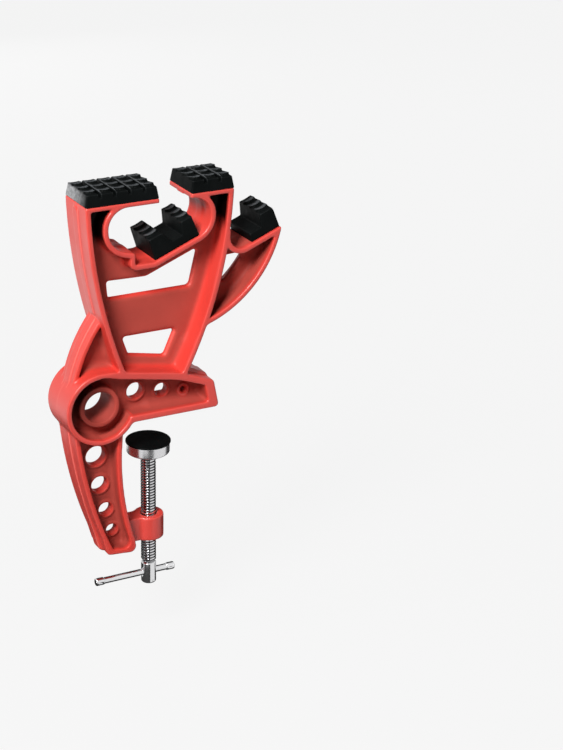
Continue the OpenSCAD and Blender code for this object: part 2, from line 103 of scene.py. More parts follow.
INNER_SEAT = (-1.1, SLOPE_Z - 0.2 * TAN)
OUTER_SEAT = (65.8, 107.2)
OUTER_TIP_X, OUTER_WALL_X = 85.9, 50.0
# Round holes and the small boss as x, z and radius; windows as corners, rounded to the third number
LEG_HOLES = [(-38.4, -24.5, 6.8), (-36, -45.1, 5.6), (-32.1, -63.7, 4.7), (-28, -79.2, 3.8)]
ARM_HOLES = [(-10.8, 15.7, 5.6), (7.7, 13.2, 4.5)]
DIMPLE, BOSS_H, PIT_R, PIT_DEPTH = (23.2, 11, 4.3), 1.4, 2.5, 2.8
WINDOWS = ([(-27.3, 80.8, 1.5), (28.2, 80.8, 2.5), (33.7, 104.5, 1.6), (-1.4, 90.6, 8), (-28.2, 91.3, 1.2)],
           [(-13.9, 41.3, 1.5), (10.6, 36.4, 2), (17.8, 52.7, 1.5), (-17.9, 52.7, 1.5)],
           [(48.4, 75, 2.5), (66.9, 97, 2), (50.6, 96, 1.5)])
# Rubber pads, foot, screw and bar
DECK_PAD_HALF, DECK_PAD_H, GROOVE_HALF, GROOVE_H = 16.2, 9.0, 0.9, 4.0
JAW_HALF, JAW_H, JAW_FLOOR = 14.5, 15.8, 6.0
FOOT_Z, CAP_R, CAP_T, DISC_R, DISC_T = -21.6, 14.8, 1.2, 14.2, 7.2
DISC_TOP = FOOT_Z - CAP_T
DISC_BOTTOM = DISC_TOP - DISC_T
RECESS_R, RECESS_H, WASHER_T = 6.2, 2.4, 0.9
SPIGOT_R, RIVET_R, RIVET_H = 3.2, 4.4, 1.1
SCREW_R, ROOT_R, PITCH, THREAD_LEN = 5.0, 3.95, 2.0, 80.8
SCREW_GAP, BUSH_R = 0.45, 7.52
SHOULDER = DISC_BOTTOM - 0.05
PLAIN_END_TOP = SHOULDER - THREAD_LEN
PLAIN_END_BOTTOM = PLAIN_END_TOP - 14.6
BAR_Z = PLAIN_END_TOP - 7
BAR_R, BAR_LEN, SWAGE_LEN, SWAGE_R, BAR_SHIFT = 2.2, 57.0, 6.0, 2.6, 10.1
BAR_HOLE_R, BAR_HOLE_MOUTH_R = 2.26, 2.8
CRIMPS, CRIMP_DEPTH = 4, 0.16


# Outlines in the X-Z plane, as in the source
def arc(c, r, a0, a1, n=24):
    t = np.radians(np.linspace(a0, a1, n + 1))
    return [np.array([c[0] + r * math.cos(v), c[1] + r * math.sin(v)]) for v in t]


def left_angle(c, r, z):
    return 180 - math.degrees(math.asin((z - c[1]) / r))


def right_angle(c, r, z):
    return math.degrees(math.asin((z - c[1]) / r))


def meet(c1, r1, c2, r2):
    """Where two circles cross, on the left of the way from the first to the second."""
    d = float(np.linalg.norm(c2 - c1))
    u = (c2 - c1) / d
    a = (d * d + r1 * r1 - r2 * r2) / (2 * d)
    return c1 + a * u + math.sqrt(r1 * r1 - a * a) * np.array([-u[1], u[0]])


def turn_of(c, p):
    return math.degrees(math.atan2(p[1] - c[1], p[0] - c[0]))


def unit(v):
    return v / np.linalg.norm(v)


def cross(a, b):
    return a[0] * b[1] - a[1] * b[0]


def corner(a, p, b):
    """The corner p between a and b, rounded to its third number where it has one."""
    r = p[2] if len(p) > 2 else 0
    a, q, b = np.array(a[:2], float), np.array(p[:2], float), np.array(b[:2], float)
    if r <= 0:
        return [q]
    u, v = unit(a - q), unit(b - q)
    half = math.acos(max(-1, min(1, float(u @ v)))) / 2
    c = q + unit(u + v) * r / math.sin(half)
    s = q + u * r / math.tan(half) - c
    turn = math.pi - 2 * half
    way = -1 if cross(u, v) > 0 else 1
    n = max(2, math.ceil(math.degrees(turn) / 8))
    out = []
    for i in range(n + 1):
        w = way * turn * i / n
        out.append(c + [s[0] * math.cos(w) - s[1] * math.sin(w), s[0] * math.sin(w) + s[1] * math.cos(w)])
    return out


def rounded(v):
    n = len(v)
    return [q for i in range(n) for q in corner(v[i - 1], v[i], v[(i + 1) % n])]


def left_edge(r, z0, z1):
    """Points on the head's left side, moved in to the radius r, from z0 to z1."""
    return arc(LEFT_C, r, left_angle(LEFT_C, r, z0), left_angle(LEFT_C, r, z1))


def right_edge(r, z0, z1):
    """Points on the head's right side, moved in to the radius r, from z0 to z1."""
    return arc(RIGHT_C, r, right_angle(RIGHT_C, r, z0), right_angle(RIGHT_C, r, z1))


# Signed distances in the X-Z plane and in space, negative inside
def outline(points, X, Z):
    P = np.array([p[:2] for p in points], float)
    best = np.full(X.shape, 1e18)
    inside = np.zeros(X.shape, bool)
    for a, b in zip(P, np.roll(P, -1, axis=0)):
        e = b - a
        wx, wz = X - a[0], Z - a[1]
        t = np.clip((wx * e[0] + wz * e[1]) / max(float(e @ e), 1e-12), 0, 1)
        best = np.minimum(best, (wx - e[0] * t) ** 2 + (wz - e[1] * t) ** 2)
        if a[1] != b[1]:
            inside ^= ((a[1] <= Z) != (b[1] <= Z)) & (X < a[0] + e[0] * wz / e[1])
    return np.where(inside, -1, 1) * np.sqrt(best)


def disc(c, r, X, Z):
    return np.hypot(X - c[0], Z - c[1]) - r


def smin(a, b, k):
    """The smaller of two fields, with a blend k wide where they meet."""
    h = np.maximum(k - np.abs(a - b), 0) / k
    return np.minimum(a, b) - h * h * k / 4


def smax(a, b, k):
    return -smin(-a, -b, k)


def extrude(d, y, half, r):
    """The outline distance d, half wide to each side of the middle, with edges rounded to r."""
    q = np.abs(y) - half + r
    p = d + r
    return np.hypot(np.maximum(p, 0), np.maximum(q, 0)) + np.minimum(np.maximum(p, q), 0) - r


def sample(fields, grid, P):
    """The values of fields on a grid at the points P."""
    cell, w = [], []
    for c, g in enumerate(grid):
        n = np.clip(np.searchsorted(g, P[:, c]) - 1, 0, len(g) - 2)
        cell.append(n)
        w.append(np.clip((P[:, c] - g[n]) / (g[n + 1] - g[n]), 0, 1))
    out = np.zeros((len(fields), len(P)))
    for m in range(2 ** len(grid)):
        b = [m >> c & 1 for c in range(len(grid))]
        k = np.ones(len(P))
        for c in range(len(grid)):
            k = k * (w[c] if b[c] else 1 - w[c])
        i = tuple(cell[c] + b[c] for c in range(len(grid)))
        for n, A in enumerate(fields):
            out[n] += k * A[i]
    return out


def surface(F, xs, ys, zs):
    """Vertices, faces and normals of the field's zero surface, the vertices pulled onto it."""
    s = F < 0
    total = np.zeros(tuple(n - 1 for n in F.shape), np.int8)
    for i in (0, 1):
        for j in (0, 1):
            for k in (0, 1):
                total += s[i:F.shape[0] - 1 + i, j:F.shape[1] - 1 + j, k:F.shape[2] - 1 + k]
    live = (total > 0) & (total < 8)
    idx = np.full(live.shape, -1, np.int64)
    idx[live] = np.arange(int(live.sum()))
    I, J, K = np.nonzero(live)
    acc = np.zeros((len(I), 3))
    cnt = np.zeros(len(I))
    for axis in range(3):
        for m in range(4):
            a = [0, 0, 0]
            o = [v for v in range(3) if v != axis]
            a[o[0]], a[o[1]] = m & 1, m >> 1
            b = list(a)
            b[axis] = 1
            fa = F[I + a[0], J + a[1], K + a[2]]
            fb = F[I + b[0], J + b[1], K + b[2]]
            hit = (fa < 0) != (fb < 0)
            t = fa[hit] / (fa[hit] - fb[hit])
            p = np.tile(np.array(a, float), (len(t), 1))
            p[:, axis] = t
            acc[hit] += p
            cnt[hit] += 1
    acc /= cnt[:, None]
    V = np.stack([g[n] + acc[:, c] * (g[n + 1] - g[n])
                  for c, (g, n) in enumerate(((xs, I), (ys, J), (zs, K)))], 1)
    faces = []
    for axis in range(3):
        o = [(axis + 1) % 3, (axis + 2) % 3]
        lo = [slice(1, -1)] * 3
        hi = [slice(1, -1)] * 3
        lo[axis], hi[axis] = slice(0, -1), slice(1, None)
        sa, sb = s[tuple(lo)], s[tuple(hi)]
        at = np.array(np.nonzero(sa != sb)) + 1
        at[axis] -= 1
        out = sa[sa != sb]
        ring = []
        for du, dv in ((-1, -1), (0, -1), (0, 0), (-1, 0)):
            c = at.copy()
            c[o[0]] += du
            c[o[1]] += dv
            ring.append(idx[c[0], c[1], c[2]])
        q = np.stack(ring, 1)
        q[~out] = q[~out][:, ::-1]
        faces.append(q)
    G = np.gradient(F, xs, ys, zs)
    for _ in range(3):
        vals = sample((F, *G), (xs, ys, zs), V)
        g2 = np.maximum((vals[1:] ** 2).sum(0), 0.05)
        step = np.clip(-vals[0] / g2, -0.4, 0.4)
        V = V + (vals[1:] * step).T
    vals = sample(G, (xs, ys, zs), V)
    return V, np.concatenate(faces), (vals / np.maximum(np.linalg.norm(vals, axis=0), 1e-6)).T


def mesh_piece(name, V, faces):
    """A smooth-shaded object from vertices in millimetres."""
    me = bpy.data.meshes.new(name)
    V = np.asarray(V, float) * MM
    if isinstance(faces, np.ndarray):
        me.vertices.add(len(V))
        me.vertices.foreach_set("co", V.ravel())
        me.loops.add(faces.size)
        me.loops.foreach_set("vertex_index", faces.ravel().astype(np.int32))
        me.polygons.add(len(faces))
        me.polygons.foreach_set("loop_start", np.arange(0, faces.size, faces.shape[1], dtype=np.int32))
        me.update(calc_edges=True)
    else:
        me.from_pydata(V.tolist(), [], faces)
    me.validate()
    me.shade_smooth()
    return add(name, me)


def mirrored(F, ys):
    """The field for y from minus to plus, from its half at y <= 0."""
    return np.concatenate([F, F[:, -2::-1]], axis=1), np.concatenate([ys, -ys[-2::-1]])


# The moulded frame
STEP = 0.75

# The ski cavity below the decks, from the mouth's right side around to its left
CAVITY_PATH = [(MOUTH_RIGHT_X - 0.2, DECK_Z - DECK_T), (CAVITY_RIGHT_X, DECK_Z - DECK_T, 12.2),
               (CAVITY_RIGHT_X, SLOPE_Z + (CAVITY_RIGHT_X - SLOPE_X) * TAN, 14.2),
               (SLOPE_X - (SLOPE_Z - FLOOR_Z) / TAN, FLOOR_Z, 8),
               (-15.05, FLOOR_Z, 1), (-15.1, FLOOR_Z + 7.4, 1.6),
               (CAVITY_LEFT_X, FLOOR_Z + 12.3, 15.2),
               (CAVITY_LEFT_X, DECK_Z - DECK_T, 13.2), (MOUTH_LEFT_X + 0.2, DECK_Z - DECK_T)]


def arm_top_z(x):
    """The height of the base arm's upper side."""
    return np.interp(x, *zip(*ARM_TOP))


def leg_outline(inset):
    end_z, left_end = -LEG_DROP + 8 + inset, -LEG_DROP + 13.6 + inset
    top_r = RING_R - 1.2
    rr, lr = LEG_RIGHT_R + inset, LEG_R - inset
    right_top = meet(LEG_RIGHT_C, rr, HUB, top_r)
    left_top = meet(LEG_C, lr, HUB, top_r)
    right = arc(LEG_RIGHT_C, rr, left_angle(LEG_RIGHT_C, rr, end_z),
                left_angle(LEG_RIGHT_C, rr, right_top[1]))
    left = arc(LEG_C, lr, left_angle(LEG_C, lr, left_top[1]), left_angle(LEG_C, lr, left_end))
    top = arc(HUB, top_r, turn_of(HUB, right_top), turn_of(HUB, left_top))
    foot = rounded([tuple(left[-1]), (-34.9 + 1.2 * inset, -LEG_DROP + 1.3 + inset, 2.6),
                    (-14.2 - 1.2 * inset, -LEG_DROP - 0.4 + inset, 4), tuple(right[0])])
    return right + top[1:-1] + left + foot[1:-1]


def bracket_outline(r, strut_r):
    tip = meet(BRACKET_C, r, RIGHT_C, strut_r)
    edge = right_edge(strut_r, BRACKET_TOP, tip[1])
    return arc(BRACKET_C, r, turn_of(BRACKET_C, tip), -11) + [(OUTER_TIP_X, BRACKET_TOP)] + edge[:-1]


def band(c, r0, r1, z0, z1):
    """The left part of a ring between the radii r0 and r1, from z0 to z1."""
    return (arc(c, r1, left_angle(c, r1, z0), left_angle(c, r1, z1)) +
            arc(c, r0, left_angle(c, r0, z1), left_angle(c, r0, z0)))


def head_plan(X, Z, left, right):
    """The head's outline, its ski cavity with and without the mouth, and its walls."""
    head = np.maximum(smax(smax(left, right, 1), Z - DECK_Z, 1.2), arm_top_z(X) - 1.6 - Z)
    cavity = outline([(MOUTH_RIGHT_X, DECK_Z + 1), (MOUTH_RIGHT_X, DECK_Z)] + rounded(CAVITY_PATH) +
                     [(MOUTH_LEFT_X, DECK_Z), (MOUTH_LEFT_X, DECK_Z + 1)], X, Z)
    closed_cavity = outline(rounded(CAVITY_PATH), X, Z)
    # The pocket between the walls ends below at the line from one side wall's foot to the other's
    low_right = right_edge(RIGHT_R - FLANGE_T, arm_top_z(17.6) - 1.5, DECK_Z)[0]
    low_left = left_edge(LEFT_R - FLANGE_T, DECK_Z, arm_top_z(-22.6) - 1.5)[-1]
    n = unit(low_right - low_left)
    below = (X - low_left[0]) * n[1] - (Z - low_left[1]) * n[0]
    pocket = smax(smax(left + FLANGE_T, right + FLANGE_T, 2.4), Z - DECK_Z + DECK_T, 1.6)
    pocket = smax(np.maximum(pocket, below), CRADLE_T - closed_cavity, 2.2)
    return head, cavity, closed_cavity, smax(smax(head, -cavity, 1.0), -pocket, 0.5)


def base_plan(X, Z):
    """The outline of the hub's ring and the base arm together, and their walls."""
    ring = disc(HUB, RING_R, X, Z)
    arm = outline(rounded([tuple(HUB * [1, 0]), (ARM_END_X, 0, 2.5), (*ARM_TOP[2], 2.5), (*ARM_TOP[1], 60),
                           (*ARM_TOP[0], 6), (HUB[0], HUB[1] + RING_R)]), X, Z)
    r = 4.0
    c = np.array([HUB[0] + math.sqrt((RING_R + r) ** 2 - (HUB[1] + r) ** 2), -r])
    fillet = outline(arc(c, r, turn_of(c, HUB), 90, 8) + [c + [0, r + 2], HUB + [17, -13]], X, Z)
    base = np.minimum.reduce([ring, arm, fillet])
    pocket = outline(rounded([(HUB[0], HUB[1] - RING_R + FLANGE_T + 0.1), (-26.5, -6, 7), (-23.5, 4.4, 6),
                              (ARM_END_X - 7.4, 4.4, 2), (33.2, ARM_END_H - 2.4, 2), (15, 23.3, 60),
                              (HUB[0], HUB[1] + RING_R - FLANGE_T)]), X, Z)
    pocket = smin(disc(HUB, RING_R - FLANGE_T, X, Z), pocket, 1.5)
    return base, smax(base, -pocket, 0.5)


def bracket_plan(X, Z):
    """The outline of the outer cradle's bracket, the cradle's notch, and the bracket's walls."""
    def seat_z(x):
        return OUTER_SEAT[1] + (x - OUTER_SEAT[0]) * TAN

    tip = OUTER_TIP_X + 2
    notch = outline(rounded([(tip, seat_z(tip)), (OUTER_WALL_X, seat_z(OUTER_WALL_X), 8.3),
                             (OUTER_WALL_X, BRACKET_TOP + 2), (tip, BRACKET_TOP + 2)]), X, Z)
    bracket = outline(bracket_outline(BRACKET_R, RIGHT_R - FLANGE_T / 2), X, Z)
    pocket = smax(outline(bracket_outline(BRACKET_R - FLANGE_T, RIGHT_R), X, Z), CRADLE_T - notch, 2.0)
    return bracket, notch, smax(smax(bracket, -notch, 1.0), -pocket, 0.5)


def bead_plan(X, Z, leg):
    """The low bead along the left side of the head, the arch and the leg, fuller at the leg's corner."""
    bands = [outline(band(c, r - 1, r + BEAD_H, z0, z1), X, Z) for c, r, z0, z1 in
             ((LEFT_C, LEFT_R, DECK_Z - BEAD_GAP, ARCH_TOP), (ARCH_C, ARCH_R, ARCH_TOP, HUB[1] + 14))]
    proud = BEAD_H + 1.3 * np.clip((-55 - Z) / 35, 0, 1) ** 2
    on_leg = smax(leg - proud, 0.6 - LEG_DROP - Z, 4.0)
    on_leg = np.maximum.reduce([on_leg, -leg - 1, Z + 2, X + 18.2 - Z / 12])
    return np.minimum.reduce([*bands, on_leg])


def fillet_size(X, Z):
    """How far the web runs up the walls: more along the arm's lower side and at the head's foot."""
    arm_tip = 5.0 * np.clip((X + 8) / 6, 0, 1) * np.clip((12 - Z) / 5, 0, 1)
    arm_side = 4.0 * np.clip((X + 12) / 34, 0, 1) * np.clip((15 - Z) / 4, 0, 1)
    head_foot = 2.4 * np.clip((Z - arm_top_z(X) + 3) / 2, 0, 1) * np.clip((50 - Z) / 6, 0, 1)
    head_foot = head_foot * (disc(HUB, RING_R - 2, X, Z) > 0)
    return 3.6 + np.maximum.reduce([arm_tip, arm_side, head_foot])


def frame_plan(X, Z):
    """The frame's outlines in the X-Z plane, by name."""
    left, right = disc(LEFT_C, LEFT_R, X, Z), disc(RIGHT_C, RIGHT_R, X, Z)
    head, cavity, closed_cavity, head_walls = head_plan(X, Z, left, right)
    base, base_walls = base_plan(X, Z)
    bracket, notch, bracket_walls = bracket_plan(X, Z)
    leg = outline(leg_outline(0), X, Z)
    arch_foot = HUB[1] + 8
    arch_web = outline(arc(ARCH_C, ARCH_R - WEB_INSET, left_angle(ARCH_C, ARCH_R, 67),
                           left_angle(ARCH_C, ARCH_R, arch_foot)) +
                       [(-40, arch_foot), (-24, 34)] + left_edge(LEFT_R - FLANGE_T / 2, 34, 67), X, Z)
    head_web = np.maximum.reduce([np.maximum(left, right) + 2.4, 22.4 - Z, 1.6 - cavity, Z - DECK_Z + 2])
    bracket_web = smax(outline(bracket_outline(BRACKET_R - WEB_INSET, RIGHT_R - 2), X, Z), 1.6 - notch, 0.5)
    rib = [(22.4, 20), (38.6, 16), (39.8, ARM_END_H + 1.2, 2.5), (25, arm_top_z(25) + 2.4, 20),
           (22.4, arm_top_z(22.4) + 2.4)]
    round_holes = LEG_HOLES + ARM_HOLES
    return SimpleNamespace(
        left=left, right=right, head=head, closed_cavity=closed_cavity, base=base, bracket=bracket,
        notch=notch, leg=leg, arch_web=arch_web,
        wide_walls=smin(smin(head_walls, base_walls, 2.5), bracket_walls, 1.5),
        leg_walls=smax(leg, -outline(leg_outline(FLANGE_T), X, Z), 0.5),
        arch_walls=outline(band(ARCH_C, ARCH_R - FLANGE_T, ARCH_R, ARCH_TOP, arch_foot), X, Z),
        web=np.minimum.reduce([head_web, base + WEB_INSET, arch_web, leg + WEB_INSET, bracket_web]),
        whole=np.minimum.reduce([head, base, bracket, leg, arch_web - WEB_INSET]),
        windows=np.minimum.reduce([outline(rounded(w), X, Z) for w in WINDOWS]),
        holes=np.minimum.reduce([disc((x, z), r, X, Z) for x, z, r in round_holes]),
        rims=np.minimum.reduce([disc((x, z), r + RIM_W, X, Z) for x, z, r in round_holes]),
        beads=bead_plan(X, Z, leg), rib=outline(rounded(rib), X, Z),
        boss=disc(DIMPLE, DIMPLE[2], X, Z), pit=disc(DIMPLE, PIT_R, X, Z),
        tube=disc(HUB, TUBE_R, X, Z), bore=disc(HUB, BORE_R, X, Z), fillet=fillet_size(X, Z))


def three(d):
    """A field of the X-Z plane, ready to meet one along y."""
    return d[:, None, :]


def frame_solid(plan, xs, ys, zs):
    """The frame's signed distance over the whole grid."""
    x, y, z = xs[:, None, None], ys[None, :, None], zs[None, None, :]
    F = extrude(three(plan.wide_walls), y, HEAD_HALF, EDGE_R)
    F = smin(F, extrude(three(plan.leg_walls), y, LEG_HALF, EDGE_R), 1.2)
    F = smin(F, extrude(three(plan.arch_walls), y, ARCH_HALF, EDGE_R), 1.2)
    # The bead's upper end is round, and its foot melts into the leg's corner
    end = np.clip(z - (DECK_Z - BEAD_GAP - BEAD_HALF), 0, BEAD_HALF)
    bead_half = np.maximum(np.sqrt(BEAD_HALF ** 2 - end ** 2), 0.6)
    melt = 1.0 + 2.4 * np.clip((-50 - z) / 30, 0, 1)
    F = smin(F, extrude(three(plan.beads), y, bead_half, 0.45), melt)
    F = np.minimum(F, extrude(three(plan.tube), y, TUBE_HALF, 1.0))
    # The fillets between web and walls stay inside the outlines
    filleted = smin(F, extrude(three(plan.web), y, WEB_HALF, 0.3), three(plan.fillet))
    F = np.minimum(F, np.maximum(filleted, three(plan.whole)))
    F = smin(F, extrude(three(plan.rims), y, WEB_HALF + RIM_H, 0.5), 0.8)
    F = smin(F, extrude(three(plan.boss), y, WEB_HALF + BOSS_H, 0.6), 0.8)
    F = smin(F, extrude(three(plan.rib), y, RIB_HALF, 1.4), 1.2)
    # The collar of the screw, and the neck between it and the leg
    radial = np.hypot(x, y)
    rise = z - COLLAR_MID
    ends = np.abs(rise) - COLLAR_H / 2
    neck = np.maximum(np.maximum(np.abs(x - NECK_X) - NECK_HALF_X, np.abs(y) - NECK_HALF_Y), ends)
    collar = smin(extrude(radial - COLLAR_R, rise, COLLAR_H / 2, EDGE_R), neck, 1.5)
    F = smin(F, np.maximum(collar, ends), 2.0)
    # Windows, round holes, the pit, the hub's bore, and the way of the screw and its bush
    F = smax(F, -three(plan.windows), WINDOW_BEVEL)
    F = smax(F, -three(plan.holes), 0.8)
    depth = WEB_HALF + BOSS_H - np.abs(y)
    pit = np.maximum((three(plan.pit) + 0.5 * np.maximum(depth, -0.6)) * 0.85, depth - PIT_DEPTH)
    F = smax(F, -pit, 0.3)
    F = smax(F, -three(plan.bore), 1.1)
    F = smax(F, -np.maximum(radial - SCREW_R - SCREW_GAP, ends - 1), 0.6)
    return np.maximum(F, -np.maximum(radial - BUSH_R, ends + 2))


def widest(d, reach):
    """The largest value of d within reach cells of each cell."""
    for axis in (0, 1):
        P = np.pad(d, [(reach, reach) if a == axis else (0, 0) for a in (0, 1)])
        d = np.max([np.take(P, range(k, k + d.shape[axis]), axis) for k in range(2 * reach + 1)], axis=0)
    return d


def soften(d, reach):
    """The mean of d within reach cells of each cell, taken twice."""
    for axis in (0, 1, 0, 1):
        P = np.pad(d, [(reach, reach) if a == axis else (0, 0) for a in (0, 1)], mode="edge")
        d = np.mean([np.take(P, range(k, k + d.shape[axis]), axis) for k in range(2 * reach + 1)], axis=0)
    return d


def frame_places(plan, X, Z):
    """Where the moulding is textured, where shade is painted on it, and where it is closed in, over the X-Z
    plane.
    """
    walls = np.minimum.reduce([plan.wide_walls, plan.leg_walls, plan.arch_walls, plan.tube])
    in_bracket = (plan.right > -1) & (Z > 40)
    in_arch = (plan.left > -FLANGE_T) & (Z > 30)
    in_leg = Z < HUB[1] - RING_R + 1
    in_arm = (X > HUB[0] + RING_R - 3) & (plan.base < -1.5)
    in_ring = disc(HUB, RING_R - FLANGE_T, X, Z) < 1.5
    shaded_pockets = in_bracket | in_arch | in_leg | in_arm | in_ring

    # The textured web, up to the walls, the windows, the holes and the boss; in the pockets of the bracket,
    # arch, leg, arm and ring the web's darker colour also covers the walls, as painted shade
    recess = np.clip((plan.windows - 1.1) / 0.8, 0, 1) * np.clip((plan.holes - 0.3) / 0.5, 0, 1)
    recess = recess * np.where(shaded_pockets, 1, np.clip((walls - 0.6) / 2.2, 0, 1))
    recess = recess * np.clip((plan.boss + 0.2) / 0.8, 0, 1)

    # Painted shade in the narrow pockets
    filled = np.minimum.reduce([np.maximum(plan.head, -plan.closed_cavity), plan.base,
                                np.maximum(plan.bracket, -plan.notch), plan.leg, plan.arch_web - WEB_INSET])
    width = widest(np.where(filled < -1, np.maximum(walls, 0), 0), 12)
    dark = np.clip((7.5 - width) / 2.8, 0, 1) * (width > 0)
    dark = np.where((X > -12) & (Z < 40) & ~in_arm & ~in_ring, 0, dark)
    # In the hub's ring the painted shade grows towards the upper left
    toward = (HUB[0] - X + Z - HUB[1]) / RING_R
    dark = np.where(in_ring, dark * np.clip(0.42 + 0.5 * toward, 0, 1), dark)
    dark = np.select([in_leg | in_arch | in_bracket, in_arm], [0.12 + dark * 0.45, 0.12 + dark * 0.2], dark)
    # More painted shade by the walls that face right, which are turned away from the light
    in_head = np.clip((Z - 66) / 45, 0, 1) * (plan.closed_cavity > 0)
    for d, reach, share in ((-plan.left - FLANGE_T, 5, in_head),
                            (-disc(ARCH_C, ARCH_R, X, Z) - FLANGE_T, 5, 0.95 * in_arch),
                            (plan.right, 10, 0.95 * in_bracket),
                            (-disc(LEG_C, LEG_R, X, Z) - FLANGE_T, 3.5, 0.6 * in_leg)):
        dark = np.maximum(dark, share * np.clip(1 - d / reach, 0, 1) * (d > -1.2))
    # The boss's pit is painted dark too, as shade
    dark = np.maximum(soften(dark, 1), 0.85 * (disc(DIMPLE, 1.7, X, Z) < 0))
    dark = dark * np.clip((-0.8 - filled) / 1.2, 0, 1)

    rim = np.where(in_leg, LEG_HALF, np.where(in_arch, ARCH_HALF, HEAD_HALF))
    return {"textured_and_shade": recess, "pocket_shade": dark, "closed": np.clip((-0.7 - plan.whole) / 1.4, 0, 1),
            "bead": plan.beads, "windows": plan.windows, "rim": rim,
            "deep": np.where(shaded_pockets, rim - 4.5, WEB_HALF + 0.8)}


def attribute(ob, name, values):
    ob.data.attributes.new(name, "FLOAT", "POINT").data.foreach_set("value", values.astype(np.float32))


def make_frame():
    """The moulding, and what its material depends on as values of the mesh."""
    # The grid's steps away from the middle, close together where the moulding has its edges
    steps = [0, 1.0, 1.8, 2.4, 2.9, 3.4, 3.9, 4.6, 5.4, 6.2, 7.0, 7.8, 8.4, 8.9, 9.5, 10.3, 11.2, 11.8,
             12.3, 12.9, 13.4, 14.0, 14.8, 15.4, 15.9, 16.4, 17.0]
    xs, ys, zs = np.arange(-66, 90, STEP), -np.array(steps)[::-1], np.arange(-97, 149, STEP)
    X, Z = np.meshgrid(xs, zs, indexing="ij")
    plan = frame_plan(X, Z)
    F, ys = mirrored(frame_solid(plan, xs, ys, zs), ys)
    V, faces, normals = surface(F, xs, ys, zs)
    ob = mesh_piece("frame_moulding", V, faces)

    places = frame_places(plan, X, Z)
    at = dict(zip(places, sample(list(places.values()), (xs, zs), V[:, [0, 2]])))
    x, y, z = V.T
    side = np.abs(y)
    # The textured web, and its darker colour painted up the walls of the deeper pockets as shade
    attribute(ob, "textured_and_shade", at["textured_and_shade"] * at["closed"] * np.clip(1 - (side - at["deep"]) / 3, 0, 1))
    # Painted shade in the pockets, fading out towards the rims
    attribute(ob, "pocket_shade", at["pocket_shade"] * np.clip((at["rim"] - 0.5 - side) / 2.5, 0, 1))
    attribute(ob, "closed", at["closed"] * np.clip((15.4 - side) / 1.5, 0, 1))
    # Painted highlights on the lines that catch the light: the bead's edges, the pit's ring, the windows'
    # bevels, the hub's seam
    bead = np.clip(1 - np.abs(side - BEAD_HALF) / 0.55, 0, 1) * (at["bead"] < 1.2) * (x < -20)
    bead = bead * (1 - at["closed"])
    ring = np.clip(1 - np.abs(disc(DIMPLE, DIMPLE[2] - 0.6, x, z)) / 0.7, 0, 1) * (side > WEB_HALF + 0.3)
    bevel = np.clip(1 - np.abs(at["windows"] - 0.6), 0, 1) * (normals[:, 0] < -0.2) * (side > WEB_HALF - 2.2)
    seam = np.clip(1 - np.abs(y - 1) / 0.7, 0, 1) * (x < -44) * (np.abs(z - HUB[1]) < 20)
    attribute(ob, "painted_highlight", bead + ring + 0.8 * bevel + 0.7 * seam)
    return ob


frame_piece = make_frame()


# Rubber pads
PAD_STEP = 0.4
SCALES, SCALE_STEP = 3, 1.5


def scale_drop(s, v):
    """How far the scales lie below the pad's top: s runs from -1 to 1 across them, v from 0 to 1 along."""
    row = (v - 0.01 + 0.10 * (1 - np.sqrt(np.clip(1 - 0.92 * s * s, 0.02, 1)))) / 0.29
    tooth = np.clip(row, 0, SCALES - 0.001) % 1
    drop = SCALE_STEP * (1 - tooth / 0.95)
    drop = np.where(tooth > 0.95, SCALE_STEP * (tooth - 0.95) / 0.05, drop)
    return np.clip(np.where(row > SCALES - 0.03, SCALE_STEP, drop), 0, SCALE_STEP)


def scale_light(s, v):
    """How light a point of the scales is painted: light on their faces, and painted shadow in the steps
    between them.
    """
    drop = scale_drop(np.clip(s, -1, 1), v) / SCALE_STEP
    return np.clip((0.6 - drop) / 0.3, 0, 1) * (np.abs(s) < 1.04)


def top_pad(name, x0, x1, columns):
    """A deck's pad from x0 to x1, with grooves between its columns of scales."""
    xs = np.arange(x0 - 1, x1 + 1.2, PAD_STEP)
    ys = np.arange(-17.2, 17.3, PAD_STEP)
    zs = np.arange(DECK_Z - 0.8, DECK_Z + 10, PAD_STEP)
    x, y, z = xs[:, None, None], ys[None, :, None], zs[None, None, :]
    pitch = (x1 - x0) / columns

    def across(x):
        """The column that x lies in, and where in it, from -1 to 1 over its scales."""
        col = np.clip(np.floor((x - x0) / pitch), 0, columns - 1)
        return col, (x - x0 - (col + 0.5) * pitch - 0.3) / (pitch - 2.4) * 2

    def along(y):
        return (DECK_PAD_HALF - y) / (2 * DECK_PAD_HALF)

    h = z - DECK_Z
    lean = 1.4 * np.clip(h, 0, DECK_PAD_H) / DECK_PAD_H
    F = smax(np.abs(x - (x0 + x1) / 2) - (x1 - x0) / 2 + lean, np.abs(y) - DECK_PAD_HALF + lean, 1.2)
    col, s = across(x)
    drop = scale_drop(np.clip(s, -1, 1), along(y))
    drop = np.where((s < -1) & (col > 0), 0.45 + 0.9 * np.clip((np.abs(y) - 11.5) / 3.5, 0, 1), drop)
    F = smax(F, (h - DECK_PAD_H + drop) * 0.8, 0.4)
    F = np.maximum(F, -h)
    for i in range(1, columns):
        groove = np.maximum(np.abs(x - x0 - i * pitch) - GROOVE_HALF, DECK_PAD_H - GROOVE_H - h)
        F = smax(F, -groove, 0.3)
    V, faces, _ = surface(F, xs, ys, zs)
    ob = mesh_piece(name, V, faces)

    x, y, z = V.T
    near = np.round((x - x0) / pitch)
    # Painted highlight along the lip of each groove
    lip_highlight = (np.abs(x - x0 - near * pitch - 1.1) < 0.45) & (z > DECK_Z + 8) & (near > 0)
    attribute(ob, "lip_highlight", lip_highlight * 1.0)
    # Painted sheen on the left pad's left end, as light from the left
    end_sheen = (x < x0 + 1.4) * np.clip((y + 15) / 20, 0, 1) * np.clip((DECK_Z + 8.6 - z) / 2, 0, 1)
    attribute(ob, "end_sheen", end_sheen * (x0 < 0))
    # Painted light on the scales' faces and painted shadow in their steps
    attribute(ob, "scale", scale_light(across(x)[1], along(y)))
    return ob


